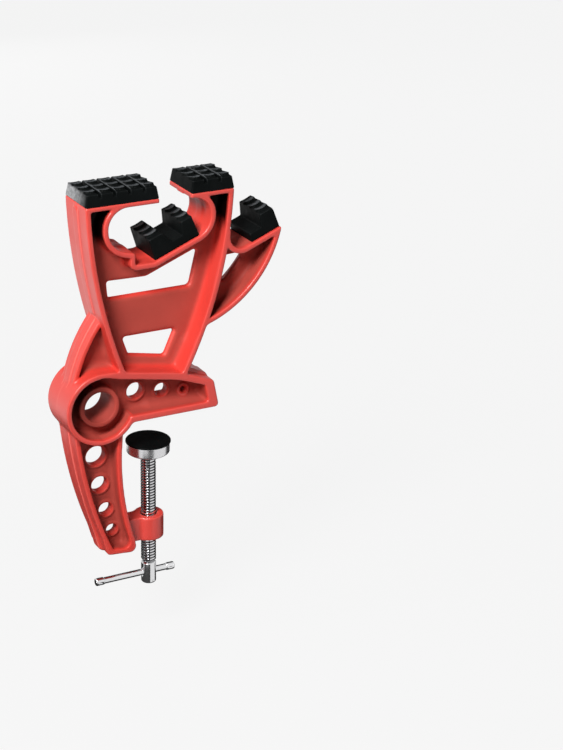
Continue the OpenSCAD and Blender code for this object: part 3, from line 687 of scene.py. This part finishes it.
def cradle_pad(name, seat, profile, length, jaws):
    """A cradle's block: its profile over the sloped seat, and where its jaws begin and end along it."""
    us = np.arange(-1, length + 1.2, PAD_STEP)
    ys = np.arange(-15.4, 15.5, PAD_STEP)
    ws = np.arange(-0.8, 17, PAD_STEP)
    U, W = np.meshgrid(us, ws, indexing="ij")
    u, y, w = us[:, None, None], ys[None, :, None], ws[None, None, :]

    def across(u, jaw):
        return (u - (jaw[0] + jaw[1]) / 2) / (jaw[1] - jaw[0]) * 2

    def along(y):
        return (JAW_HALF - y) / (2 * JAW_HALF)

    F = smax(three(outline(rounded(profile), U, W)), np.abs(y) - JAW_HALF, 1.0)
    for jaw in jaws:
        s = across(u, jaw)
        over = np.clip(1 - np.maximum(np.abs(s) - 1.15, 0) * 3, 0, 1)
        drop = scale_drop(np.clip(s, -1, 1), along(y))
        F = smax(F, (w - JAW_H + drop) * 0.8 - 4 * (1 - over), 0.5)
    V, faces, _ = surface(F, us, ys, ws)
    u, y, w = V.T
    light = np.maximum.reduce([scale_light(across(u, jaw), along(y)) for jaw in jaws])
    t = math.radians(SLOPE)
    V = np.stack([seat[0] + u * math.cos(t) - w * math.sin(t), y,
                  seat[1] + u * math.sin(t) + w * math.cos(t)], 1)
    ob = mesh_piece(name, V, faces)
    # Painted light on the scales' faces and painted shadow in their steps
    attribute(ob, "scale", light)
    return ob


pads = {
    "left_top_pad": top_pad("left_deck_rubber", LEFT_DECK_X, MOUTH_LEFT_X, 5),
    "right_top_pad": top_pad("right_deck_rubber", MOUTH_RIGHT_X, RIGHT_DECK_X, 3),
    "inner_cradle_pad": cradle_pad("inner_cradle_rubber", INNER_SEAT, [
        (0, 0, 0.4), (32.6, 0, 0.4), (32.3, JAW_H, 0.8), (24.9, JAW_H, 0.6), (22, JAW_FLOOR, 0.8),
        (14.6, JAW_FLOOR, 0.8), (9.6, JAW_H, 0.6), (1.3, JAW_H, 0.8)], 32.6, [(1.3, 9.6), (24.9, 32.3)]),
    "outer_cradle_pad": cradle_pad("outer_cradle_rubber", OUTER_SEAT, [
        (0, 0, 0.4), (21.3, 0, 0.4), (21.3, 12, 1.5), (20.3, JAW_H, 0.8), (12.2, JAW_H, 0.8),
        (9.3, JAW_FLOOR, 0.8), (0.6, JAW_FLOOR, 0.8)], 21.3, [(12.2, 20.3)]),
}


# Turned pieces
def lathe(name, profile, sides=96, axis="z", at=(0, 0, 0)):
    """A turned piece: profile is [radius, height] from one end to the other."""
    t = np.linspace(0, 2 * math.pi, sides, endpoint=False)
    V, faces = [], []
    prev = None
    for r, h in profile:
        if r <= 1e-6:
            ring = [len(V)]
            V.append((0, 0, h))
        else:
            ring = list(range(len(V), len(V) + sides))
            V += [(r * math.cos(a), r * math.sin(a), h) for a in t]
        if prev is not None:
            for i in range(sides):
                j = (i + 1) % sides
                if len(prev) == 1 and len(ring) > 1:
                    faces.append((prev[0], ring[j], ring[i]))
                elif len(ring) == 1 and len(prev) > 1:
                    faces.append((prev[i], prev[j], ring[0]))
                elif len(ring) > 1:
                    faces.append((prev[i], prev[j], ring[j], ring[i]))
        prev = ring
    V = np.array(V)
    if axis == "x":
        V = V[:, [2, 0, 1]]
    return mesh_piece(name, V + np.array(at), faces)


def bevelled(points):
    """The turned profile points [r, h, bevel] with rounded corners."""
    out = []
    for i, p in enumerate(points):
        if 0 < i < len(points) - 1 and len(p) > 2:
            out += corner(points[i - 1], p, points[i + 1])
        else:
            out.append(np.array(p[:2], float))
    return out


THREAD_SIDES = 64
# One turn of the thread: shares of the pitch, and 0 at the root or 1 at the crest
THREAD_FORM = ((0.0, 0), (0.34, 0), (0.5, 1), (0.84, 1))


def thread_rows(z0, z1, turn):
    """Rows that follow the helix from z0 to z1, each [radii, heights] over the angles in turn."""
    rows = []
    for k in range(-1, int((z1 - z0) / PITCH) + 2):
        for share, rise in THREAD_FORM:
            z = np.clip(z0 + PITCH * (k + share + turn / (2 * math.pi)), z0, z1)
            fade = np.clip(np.minimum((z - z0) / 1.5, (z1 - z) / 1.0), 0, 1)
            rows.append((ROOT_R + (SCREW_R - ROOT_R) * fade * rise, z))
    return rows


def make_screw():
    """The plain end, the thread, and the spigot with its riveted head, as rows of one closed mesh."""
    turn = np.linspace(0, 2 * math.pi, THREAD_SIDES + 1)

    def turned_rows(profile):
        return [(np.full(len(turn), max(r, 0.02)), np.full(len(turn), h)) for r, h in bevelled(profile)]

    top, head = DISC_BOTTOM - 1.6, DISC_TOP - RECESS_H + WASHER_T
    neck_r = SCREW_R - 0.3
    rows = turned_rows([(0, PLAIN_END_BOTTOM), (SCREW_R, PLAIN_END_BOTTOM, 1.2),
                        (SCREW_R, PLAIN_END_TOP, 0.5), (ROOT_R, PLAIN_END_TOP + 0.8)])
    rows += thread_rows(PLAIN_END_TOP + 1.0, top, turn)
    rows += turned_rows([(ROOT_R, top), (neck_r, top + 0.3, 0.3), (neck_r, SHOULDER, 0.3),
                         (SPIGOT_R, SHOULDER, 0.1), (SPIGOT_R, head, 0.1), (RIVET_R, head, 0.1),
                         (RIVET_R, head + RIVET_H, 0.7), (0, head + RIVET_H)])
    R, H = np.array([r for r, _ in rows]), np.array([h for _, h in rows])
    V = np.stack([R * np.cos(turn), R * np.sin(turn), H], 2).reshape(-1, 3)
    n = len(turn)
    faces = [(k * n + i, k * n + i + 1, (k + 1) * n + i + 1, (k + 1) * n + i)
             for k in range(len(rows) - 1) for i in range(n - 1)]
    faces += [tuple(reversed(range(n - 1))), tuple(range((len(rows) - 1) * n, len(rows) * n - 1))]
    ob = mesh_piece("screw_threaded", V, faces)
    bm = bmesh.new()
    bm.from_mesh(ob.data)
    bmesh.ops.remove_doubles(bm, verts=bm.verts, dist=1e-6)
    for e in bm.edges:
        e.smooth = not (e.is_manifold and e.calc_face_angle(0) > math.radians(38))
    bm.to_mesh(ob.data)
    bm.free()
    return ob


def cut_with(piece, cutter):
    """Cuts one object out of another and removes the cutter."""
    mod = piece.modifiers.new("hole", "BOOLEAN")
    mod.operation, mod.object, mod.solver = "DIFFERENCE", cutter, "EXACT"
    dg = bpy.context.evaluated_depsgraph_get()
    me = bpy.data.meshes.new_from_object(piece.evaluated_get(dg))
    piece.modifiers.clear()
    piece.data = me
    bpy.data.objects.remove(cutter)


screw = make_screw()
reach = np.array([math.hypot(v.co.x, v.co.y) for v in screw.data.vertices]) / MM
height = np.array([v.co.z for v in screw.data.vertices]) / MM
threaded = (height > PLAIN_END_TOP + 0.3) & (height < DISC_BOTTOM - 0.5)
# Painted shade in the thread's root
attribute(screw, "root", np.clip((SCREW_R - 0.3 - reach) / 0.4, 0, 1) * threaded)
cut_with(screw, lathe("bar_cutter", [
    (0, -8), (BAR_HOLE_MOUTH_R, -8), (BAR_HOLE_MOUTH_R, -SCREW_R), (BAR_HOLE_R, -4.4),
    (BAR_HOLE_R, 4.4), (BAR_HOLE_MOUTH_R, SCREW_R), (BAR_HOLE_MOUTH_R, 8), (0, 8)], 48, "x", (0, 0, BAR_Z)))

bore_r = SPIGOT_R + 0.05
disc_piece = lathe("foot_turned_disc", bevelled([
    (bore_r, DISC_BOTTOM), (DISC_R, DISC_BOTTOM, 1.4), (DISC_R, DISC_TOP, 0.35), (RECESS_R, DISC_TOP, 0.2),
    (RECESS_R, DISC_TOP - RECESS_H, 0.2), (bore_r, DISC_TOP - RECESS_H), (bore_r, DISC_BOTTOM)]))
# A rim under the cap grips the disc's recess, around the riveted head
rim_r, rim_bottom = RECESS_R - 0.05, DISC_TOP - 0.8
cap_piece = lathe("foot_rubber_cap", bevelled([
    (0, FOOT_Z), (CAP_R, FOOT_Z, 0.55), (CAP_R, DISC_TOP, 0.25), (rim_r, DISC_TOP, 0.1),
    (rim_r, rim_bottom, 0.2), (4.9, rim_bottom, 0.2), (4.9, DISC_TOP, 0.1), (0, DISC_TOP)])[::-1])


def make_bar():
    """The sliding bar, with crimps around each swaged end."""
    half = BAR_LEN / 2
    inner = half - SWAGE_LEN
    crimp = (inner + 1.2, half - 1.6)
    profile = bevelled([(0, -half), (SWAGE_R, -half, 0.8), (SWAGE_R, -inner - 0.5, 0.4), (BAR_R, -inner, 0.3),
                        (BAR_R, inner, 0.3), (SWAGE_R, inner + 0.5, 0.4), (SWAGE_R, half, 0.8), (0, half)])
    fine = []
    for a, b in zip(profile[:-1], profile[1:]):
        n = max(1, int(abs(b[1] - a[1]) / 0.5))
        fine += [a + (b - a) * i / n for i in range(n)]
    fine.append(profile[-1])
    ob = lathe("tommy_bar_crimped", fine, 48, "x", (-BAR_SHIFT, 0, BAR_Z))
    for v in ob.data.vertices:
        along = abs(v.co.x / MM + BAR_SHIFT)
        if crimp[0] < along < crimp[1]:
            turn = math.atan2(v.co.z / MM - BAR_Z, v.co.y / MM)
            dip = max(0, math.cos(turn * CRIMPS)) ** 6
            span = (along - crimp[0]) / (crimp[1] - crimp[0])
            k = 1 - CRIMP_DEPTH * dip * math.sin(math.pi * span) ** 0.6
            v.co.y *= k
            v.co.z = (BAR_Z + (v.co.z / MM - BAR_Z) * k) * MM
    return ob


bar = make_bar()


# Materials
def node(tree, kind, **values):
    n = tree.nodes.new(kind)
    for key, value in values.items():
        if key in n.inputs:
            n.inputs[key].default_value = value
        else:
            setattr(n, key, value)
    return n


def feed(tree, socket, value):
    """A number, a colour or another node's output into a socket."""
    if isinstance(value, (float, int)):
        socket.default_value = value
    elif isinstance(value, tuple):
        socket.default_value = (*value, 1)
    else:
        tree.links.new(value, socket)


def kept(tree, name):
    """The value that the mesh keeps under that name."""
    return node(tree, "ShaderNodeAttribute", attribute_name=name).outputs["Fac"]


def compute(tree, operation, a, b):
    n = node(tree, "ShaderNodeMath", operation=operation)
    feed(tree, n.inputs[0], a)
    feed(tree, n.inputs[1], b)
    return n.outputs[0]


def noise(tree, coord, scale, detail=3, rough=0.5, stretch=None):
    if stretch:
        m = node(tree, "ShaderNodeMapping")
        m.inputs["Scale"].default_value = stretch
        tree.links.new(coord, m.inputs["Vector"])
        coord = m.outputs["Vector"]
    n = node(tree, "ShaderNodeTexNoise", Scale=scale, Detail=detail, Roughness=rough)
    tree.links.new(coord, n.inputs["Vector"])
    return n.outputs["Fac"]


def ramp(tree, value, *stops):
    n = tree.nodes.new("ShaderNodeValToRGB")
    for e, (pos, colour) in zip(n.color_ramp.elements, stops):
        e.position = pos
        e.color = (*colour, 1)
    tree.links.new(value, n.inputs["Fac"])
    return n.outputs["Color"]


def remap(tree, value, lo, hi, out_lo, out_hi):
    n = node(tree, "ShaderNodeMapRange")
    for key, v in zip(("From Min", "From Max", "To Min", "To Max"), (lo, hi, out_lo, out_hi)):
        n.inputs[key].default_value = v
    tree.links.new(value, n.inputs["Value"])
    return n.outputs["Result"]


def blend(tree, fac, a, b):
    n = node(tree, "ShaderNodeMix", data_type="RGBA", blend_type="MIX")
    for i, value in ((0, fac), (6, a), (7, b)):
        feed(tree, n.inputs[i], value)
    return n.outputs[2]


def bump(tree, height, strength, distance, normal=None):
    n = node(tree, "ShaderNodeBump", Strength=strength, Distance=distance)
    tree.links.new(height, n.inputs["Height"])
    if normal:
        tree.links.new(normal, n.inputs["Normal"])
    return n.outputs["Normal"]


def start(name):
    mat = bpy.data.materials.new(name)
    mat.use_nodes = True
    tree = mat.node_tree
    return mat, tree, tree.nodes["Principled BSDF"], node(tree, "ShaderNodeTexCoord").outputs["Object"]


def red_plastic():
    """Smooth walls, a duller textured web whose colour is also painted over some pocket walls as shade,
    painted highlights on edges and light lines, and painted shade in the narrow pockets.
    """
    mat, tree, shader, coord = start("moulded_red_plastic")
    wall = ramp(tree, noise(tree, coord, 22, 4), (0.3, (0.62, 0.046, 0.034)), (0.7, (0.69, 0.056, 0.041)))
    web = ramp(tree, noise(tree, coord, 40, 4), (0.3, (0.41, 0.060, 0.045)), (0.7, (0.49, 0.072, 0.054)))
    # The web's darker colour: a matte texture, and painted shade where it covers pocket walls
    textured_and_shade = kept(tree, "textured_and_shade")
    colour = blend(tree, textured_and_shade, wall, web)
    # Convex edges are painted lighter, as highlights, away from the textured web
    point = node(tree, "ShaderNodeNewGeometry").outputs["Pointiness"]
    plain = compute(tree, "SUBTRACT", 1.0, textured_and_shade)
    edge = compute(tree, "MULTIPLY", remap(tree, point, 0.52, 0.60, 0, 0.4), plain)
    colour = blend(tree, edge, colour, (0.80, 0.13, 0.10))
    # Painted highlights along the lines that catch the light
    colour = blend(tree, remap(tree, kept(tree, "painted_highlight"), 0, 1, 0, 0.4), colour, (0.85, 0.27, 0.23))
    # Painted shade: near black in the pockets
    colour = blend(tree, kept(tree, "pocket_shade"), colour, (0.003, 0.0006, 0.0004))
    tree.links.new(colour, shader.inputs["Base Color"])
    flow = noise(tree, coord, 60, 4, 0.6)
    rough = blend(tree, textured_and_shade, remap(tree, flow, 0.3, 0.7, 0.30, 0.42),
                  remap(tree, flow, 0.3, 0.7, 0.5, 0.6))
    tree.links.new(rough, shader.inputs["Roughness"])
    tree.links.new(remap(tree, kept(tree, "closed"), 0, 1, 0.62, 0.12), shader.inputs["Specular IOR Level"])
    peel = bump(tree, noise(tree, coord, 300, 2), 0.12, 0.0002)
    grain = compute(tree, "MULTIPLY", noise(tree, coord, 1300, 3, 0.6), remap(tree, textured_and_shade, 0, 1, 0.15, 1))
    tree.links.new(bump(tree, grain, 0.5, 0.0001, peel), shader.inputs["Normal"])
    return mat


def black_rubber():
    """Nearly black, with painted light on the scales' faces and on faces turned up, painted highlights on the
    grooves' lips and the edges, and a painted sheen on one pad's end.
    """
    mat, tree, shader, coord = start("black_rubber")
    shader.inputs["Specular IOR Level"].default_value = 0.035
    colour = ramp(tree, noise(tree, coord, 45, 5, 0.6),
                  (0.35, (0.0018, 0.0024, 0.0024)), (0.7, (0.0045, 0.0055, 0.0055)))
    place = node(tree, "ShaderNodeNewGeometry")
    # Edges are painted lighter, as highlights
    edge = remap(tree, place.outputs["Pointiness"], 0.53, 0.62, 0, 0.6)
    colour = blend(tree, edge, colour, (0.06, 0.064, 0.066))
    way = node(tree, "ShaderNodeSeparateXYZ")
    tree.links.new(place.outputs["Normal"], way.inputs[0])
    # Faces turned up are painted lighter, with a speckle, as light from above, most on the scales' faces
    speck = remap(tree, noise(tree, coord, 900, 3, 0.7), 0.35, 0.65, 0.45, 1)
    top_light = compute(tree, "MULTIPLY", remap(tree, way.outputs["Z"], 0.7, 0.9, 0, 1), speck)
    lit_scale_faces = compute(tree, "MULTIPLY", top_light, kept(tree, "scale"))
    colour = blend(tree, lit_scale_faces, colour, (0.092, 0.099, 0.105))
    # Painted highlight on the grooves' lips
    colour = blend(tree, remap(tree, kept(tree, "lip_highlight"), 0, 1, 0, 0.75), colour, (0.085, 0.09, 0.094))
    # Painted sheen on one pad's end, mottled
    mottle = remap(tree, noise(tree, coord, 420, 4, 0.7), 0.3, 0.6, 0.3, 0.9)
    colour = blend(tree, compute(tree, "MULTIPLY", kept(tree, "end_sheen"), mottle), colour, (0.42, 0.425, 0.435))
    tree.links.new(colour, shader.inputs["Base Color"])
    rough = remap(tree, noise(tree, coord, 160, 4, 0.6), 0.3, 0.7, 0.42, 0.6)
    tree.links.new(rough, shader.inputs["Roughness"])
    grain = bump(tree, noise(tree, coord, 1500, 3, 0.6), 0.5, 0.0001)
    tree.links.new(grain, shader.inputs["Normal"])
    return mat


def plated_steel(name, rough, tone, stretch):
    """Clean metal with fine turning marks, with painted shade at a thread's root."""
    mat, tree, shader, coord = start(name)
    shader.inputs["Metallic"].default_value = 1.0
    clean = ramp(tree, noise(tree, coord, 90, 4), (0.3, tuple(v * 0.93 for v in tone)), (0.7, tone))
    tree.links.new(blend(tree, kept(tree, "root"), clean, (0.3, 0.3, 0.31)), shader.inputs["Base Color"])
    scratch = noise(tree, coord, 500, 5, 0.7, stretch)
    tree.links.new(remap(tree, scratch, 0.35, 0.7, rough, rough + 0.1), shader.inputs["Roughness"])
    tree.links.new(bump(tree, scratch, 0.15, 0.00004), shader.inputs["Normal"])
    return mat


red = red_plastic()
rubber = black_rubber()
chrome = plated_steel("plated_screw_steel", 0.06, (0.80, 0.80, 0.81), (1, 1, 6))
turned = plated_steel("turned_disc_steel", 0.2, (0.74, 0.74, 0.75), (1, 1, 20))
bush_steel = plated_steel("bush_steel", 0.3, (0.6, 0.6, 0.61), (1, 1, 10))


def put(ob, body, slot, material, *replaced):
    ob.data.materials.clear()
    ob.data.materials.append(material)
    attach(ob, body)
    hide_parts(*replaced)


put(frame_piece, "frame", "frame_plastic", red, "frame")
for name, ob in pads.items():
    put(ob, "frame", "pad_rubber", rubber, name)
put(screw, "screw", "screw_steel", chrome, "clamp_screw")
put(disc_piece, "foot", "screw_steel", turned, "foot_disc")
put(cap_piece, "foot", "cap_rubber", rubber, "foot_cap")
put(bar, "bar", "screw_steel", chrome, "tommy_bar")
for name in ("thread_bush", "rivet_washer"):
    for s in nodes[name].material_slots:
        s.material = bush_steel


# Floor, backdrop and light
BACKDROP, FLOOR_GLOW, GLOW_SHARE = 0.905, 0.958, 0.93
FLOOR, CARDS = -0.173, -0.171  # heights in metres


def seen_directly(tree):
    """1 for what the camera sees, also in a mirror or through glass, and 0 for what lights the object."""
    path = node(tree, "ShaderNodeLightPath").outputs
    seen = compute(tree, "MAXIMUM", path["Is Camera Ray"], path["Is Glossy Ray"])
    return compute(tree, "MAXIMUM", seen, path["Is Transmission Ray"])


def mix_into(tree, share, a, b, socket):
    mix = node(tree, "ShaderNodeMixShader")
    for i, value in enumerate((share, a.outputs[0], b.outputs[0])):
        tree.links.new(value, mix.inputs[i])
    tree.links.new(mix.outputs[0], socket)


def make_world():
    world = bpy.data.worlds.new("studio")
    bpy.context.scene.world = world
    world.use_nodes = True
    tree = world.node_tree
    room = tree.nodes["Background"]
    room.inputs["Color"].default_value = (1, 1, 1, 1)
    room.inputs["Strength"].default_value = 0.05
    pale = node(tree, "ShaderNodeBackground", Strength=1.0)
    pale.inputs["Color"].default_value = (BACKDROP, BACKDROP, BACKDROP, 1)
    mix_into(tree, seen_directly(tree), room, pale, tree.nodes["World Output"].inputs[0])


def studio_plane(name, corners):
    """A flat piece of the studio, and the node tree of its own material."""
    me = bpy.data.meshes.new(name)
    me.from_pydata(corners, [], [(0, 1, 2, 3)])
    ob = add(name, me)
    mat = bpy.data.materials.new(name)
    mat.use_nodes = True
    me.materials.append(mat)
    return ob, mat.node_tree


def make_floor():
    tree = studio_plane("floor", [(-7, -7, FLOOR), (7, -7, FLOOR), (7, 7, FLOOR), (-7, 7, FLOOR)])[1]
    shader = tree.nodes["Principled BSDF"]
    shader.inputs["Base Color"].default_value = (0.42, 0.42, 0.42, 1)
    shader.inputs["Roughness"].default_value = 0.7
    glow = node(tree, "ShaderNodeEmission", Strength=1.0)
    glow.inputs["Color"].default_value = (FLOOR_GLOW, FLOOR_GLOW, FLOOR_GLOW, 1)
    share = compute(tree, "MULTIPLY", seen_directly(tree), GLOW_SHARE)
    mix_into(tree, share, shader, glow, tree.nodes["Material Output"].inputs[0])


def make_card(name, corners, glow=0.0):
    """A card that only reflections see: black, or glowing."""
    card, tree = studio_plane(name, corners)
    shader = tree.nodes["Principled BSDF"]
    shader.inputs["Base Color"].default_value = (0.01, 0.01, 0.01, 1)
    shader.inputs["Roughness"].default_value = 0.9
    shader.inputs["Emission Color"].default_value = (1, 1, 1, 1)
    shader.inputs["Emission Strength"].default_value = glow
    card.visible_camera = card.visible_diffuse = card.visible_shadow = card.visible_transmission = False


def floor_card(name, azimuth0, azimuth1, near, far, glow=0.0):
    """A card on the floor between two directions, in degrees to the right of the front."""
    a = [math.radians(v) for v in (azimuth0, azimuth1)]
    make_card(name, [(math.sin(t) * r, -math.cos(t) * r, CARDS) for r, t in
                     ((near, a[0]), (far, a[0]), (far, a[1]), (near, a[1]))], glow)


def softbox(name, azimuth, elevation, distance, size, power, glossy=True):
    """A square lamp, size wide, at azimuth degrees to the left of the front, aimed at the object."""
    a, e = math.radians(azimuth), math.radians(elevation)
    way = Vector((-math.sin(a) * math.cos(e), -math.cos(a) * math.cos(e), math.sin(e)))
    data = bpy.data.lights.new(name, "AREA")
    data.shape, data.size, data.size_y, data.energy = "RECTANGLE", size, size, power
    ob = add(name, data)
    ob.location = Vector((0.01, 0, 0.03)) + way * distance
    ob.rotation_euler = way.to_track_quat("Z", "Y").to_euler()
    ob.visible_camera, ob.visible_glossy = False, glossy


make_world()
make_floor()
floor_card("front_flag", -27, 3, 0.335, 2.6)
floor_card("near_flag", -79, 1, 0.07, 0.175)
floor_card("thread_flag", -51, 4, 0.175, 0.335)
floor_card("right_flag", 80, 130, 0.07, 2.6)
floor_card("kicker", -185, -122, 0.35, 2.2, 1.0)
top = CARDS + 0.0005
make_card("under_flag", [(-0.25, -0.06, top), (0.06, -0.06, top), (0.06, 0.3, top), (-0.25, 0.3, top)])
make_card("back_flag", [(0.2, 2.5, 0.1), (2.3, 1.2, 0.1), (2.3, 1.2, 4.2), (0.2, 2.5, 4.2)])
softbox("key", 52, 42, 1.6, 0.5, 36.5)
softbox("fill", -40, 20, 2.4, 1.2, 1.5)
softbox("back", 190, 12, 1.8, 0.9, 10, glossy=False)
softbox("side", -112, 8, 1.8, 0.9, 4, glossy=False)

bpy.context.scene.view_settings.view_transform = "Standard"
